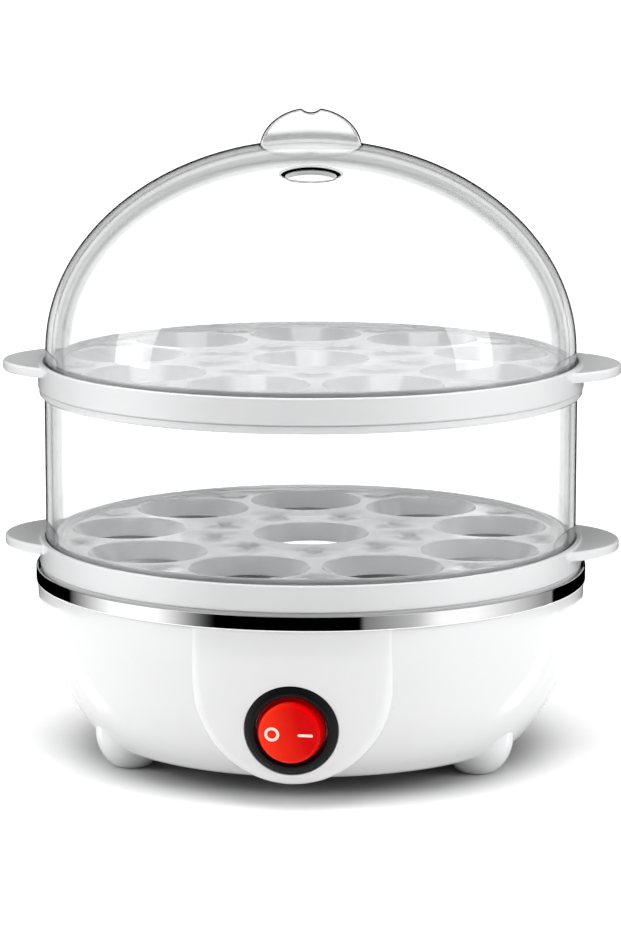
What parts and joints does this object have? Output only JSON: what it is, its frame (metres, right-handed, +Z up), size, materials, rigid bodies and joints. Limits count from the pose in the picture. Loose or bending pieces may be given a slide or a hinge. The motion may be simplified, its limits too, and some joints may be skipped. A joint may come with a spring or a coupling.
{
  "type": "egg boiler",
  "caption": "Two-tier electric egg boiler: white bowl with round rocker switch, lift-out trays with egg seats and ears, clear wall and clear domed lid with a finger tab.",
  "frame": {"origin": "on the surface it stands on, under the middle of the bowl", "axes": "+Z up through the lid's top; the switch faces -Y; the trays' ears point along +X and -X"},
  "size_m": [0.2056, 0.1854, 0.2141],
  "materials": {
    "white_plastic": "glossy white moulding",
    "cover_plastic": "fine matt",
    "clear_plastic": "clear, polished",
    "chrome_trim": "mirror",
    "seal_rubber": "matt silicone",
    "dish_steel": "spun satin",
    "zinc_steel": "zinc plated",
    "element_tube": "dull drawn tube",
    "thermostat_aluminium": "pressed, satin",
    "thermostat_phenolic": "matt phenolic",
    "fuse_white": "glazed",
    "contact_brass": "bright",
    "block_plastic": "satin",
    "black_plastic": "glossy black moulding",
    "red_lens": "translucent red, polished",
    "mark_cream": "printed",
    "plunger_nylon": "satin",
    "wire_brown": "sleeve",
    "wire_glass_sleeve": "woven glass sleeve",
    "wire_blue": "sleeve",
    "wire_green": "sleeve",
    "lamp_glass": "clear glass bulb"
  },
  "bodies": {
    "base": {"body_shell": "white_plastic", "front_left_foot": "white_plastic", "front_right_foot": "white_plastic", "rear_left_foot": "white_plastic", "rear_right_foot": "white_plastic", "bottom_cover": "cover_plastic", "trim_ring": "chrome_trim", "dish_seal": "seal_rubber", "front_left_foot_pad": "seal_rubber", "front_right_foot_pad": "seal_rubber", "rear_left_foot_pad": "seal_rubber", "rear_right_foot_pad": "seal_rubber", "heating_dish": "dish_steel", "dish_posts": "dish_steel", "cover_screws": "zinc_steel", "foot_screws": "zinc_steel", "dish_screws": "zinc_steel", "element_clamp": "zinc_steel", "sensor_clip": "zinc_steel", "clamp_nut": "zinc_steel", "rocker_pivot_pin": "zinc_steel", "heating_element": "element_tube", "thermostat_cup": "thermostat_aluminium", "thermostat_body": "thermostat_phenolic", "thermal_fuse": "fuse_white", "thermostat_blades": "contact_brass", "terminal_screws": "contact_brass", "switch_terminals": "contact_brass", "terminal_block": "block_plastic", "switch_housing": "black_plastic", "cord_gland": "black_plastic", "gland_nut": "black_plastic", "live_wire": "wire_brown", "switched_wire": "wire_brown", "heater_wire": "wire_glass_sleeve", "fuse_wire": "wire_glass_sleeve", "neutral_wire": "wire_blue", "earth_wire": "wire_green", "neon_lamp": "lamp_glass"},
    "rocker": {"switch_rocker": "red_lens", "rocker_marks": "mark_cream", "rocker_plunger": "plunger_nylon"},
    "lever": {"contact_lever": "contact_brass"},
    "lower_tray": {"lower_egg_tray": "white_plastic"},
    "wall": {"clear_wall": "clear_plastic"},
    "upper_tray": {"upper_egg_tray": "white_plastic"},
    "lid": {"lid_dome": "clear_plastic"}
  },
  "joints": [
    {"name": "rocker_swing", "type": "hinge", "parent": "base", "child": "rocker", "pos_m": [0, -0.08416, 0.02669], "axis": [0, -0.132, 0.9912], "range_deg": [0, 8]},
    {"name": "lever_swing", "type": "hinge", "parent": "base", "child": "lever", "pos_m": [0, -0.07603, 0.02777], "axis": [0, -0.132, 0.9912], "range_deg": [-8, 0]},
    {"name": "lower_tray_lift", "type": "slide", "parent": "base", "child": "lower_tray", "axis": [0, 0, 1], "range_m": [0, 0.04]},
    {"name": "wall_lift", "type": "slide", "parent": "lower_tray", "child": "wall", "axis": [0, 0, 1], "range_m": [0, 0.07]},
    {"name": "upper_tray_lift", "type": "slide", "parent": "wall", "child": "upper_tray", "axis": [0, 0, 1], "range_m": [0, 0.04]},
    {"name": "lid_lift", "type": "slide", "parent": "upper_tray", "child": "lid", "axis": [0, 0, 1], "range_m": [0, 0.09]}
  ],
  "couplings": [
    {"joint": "lever_swing", "follows": "rocker_swing", "ratio": -1}
  ]
}
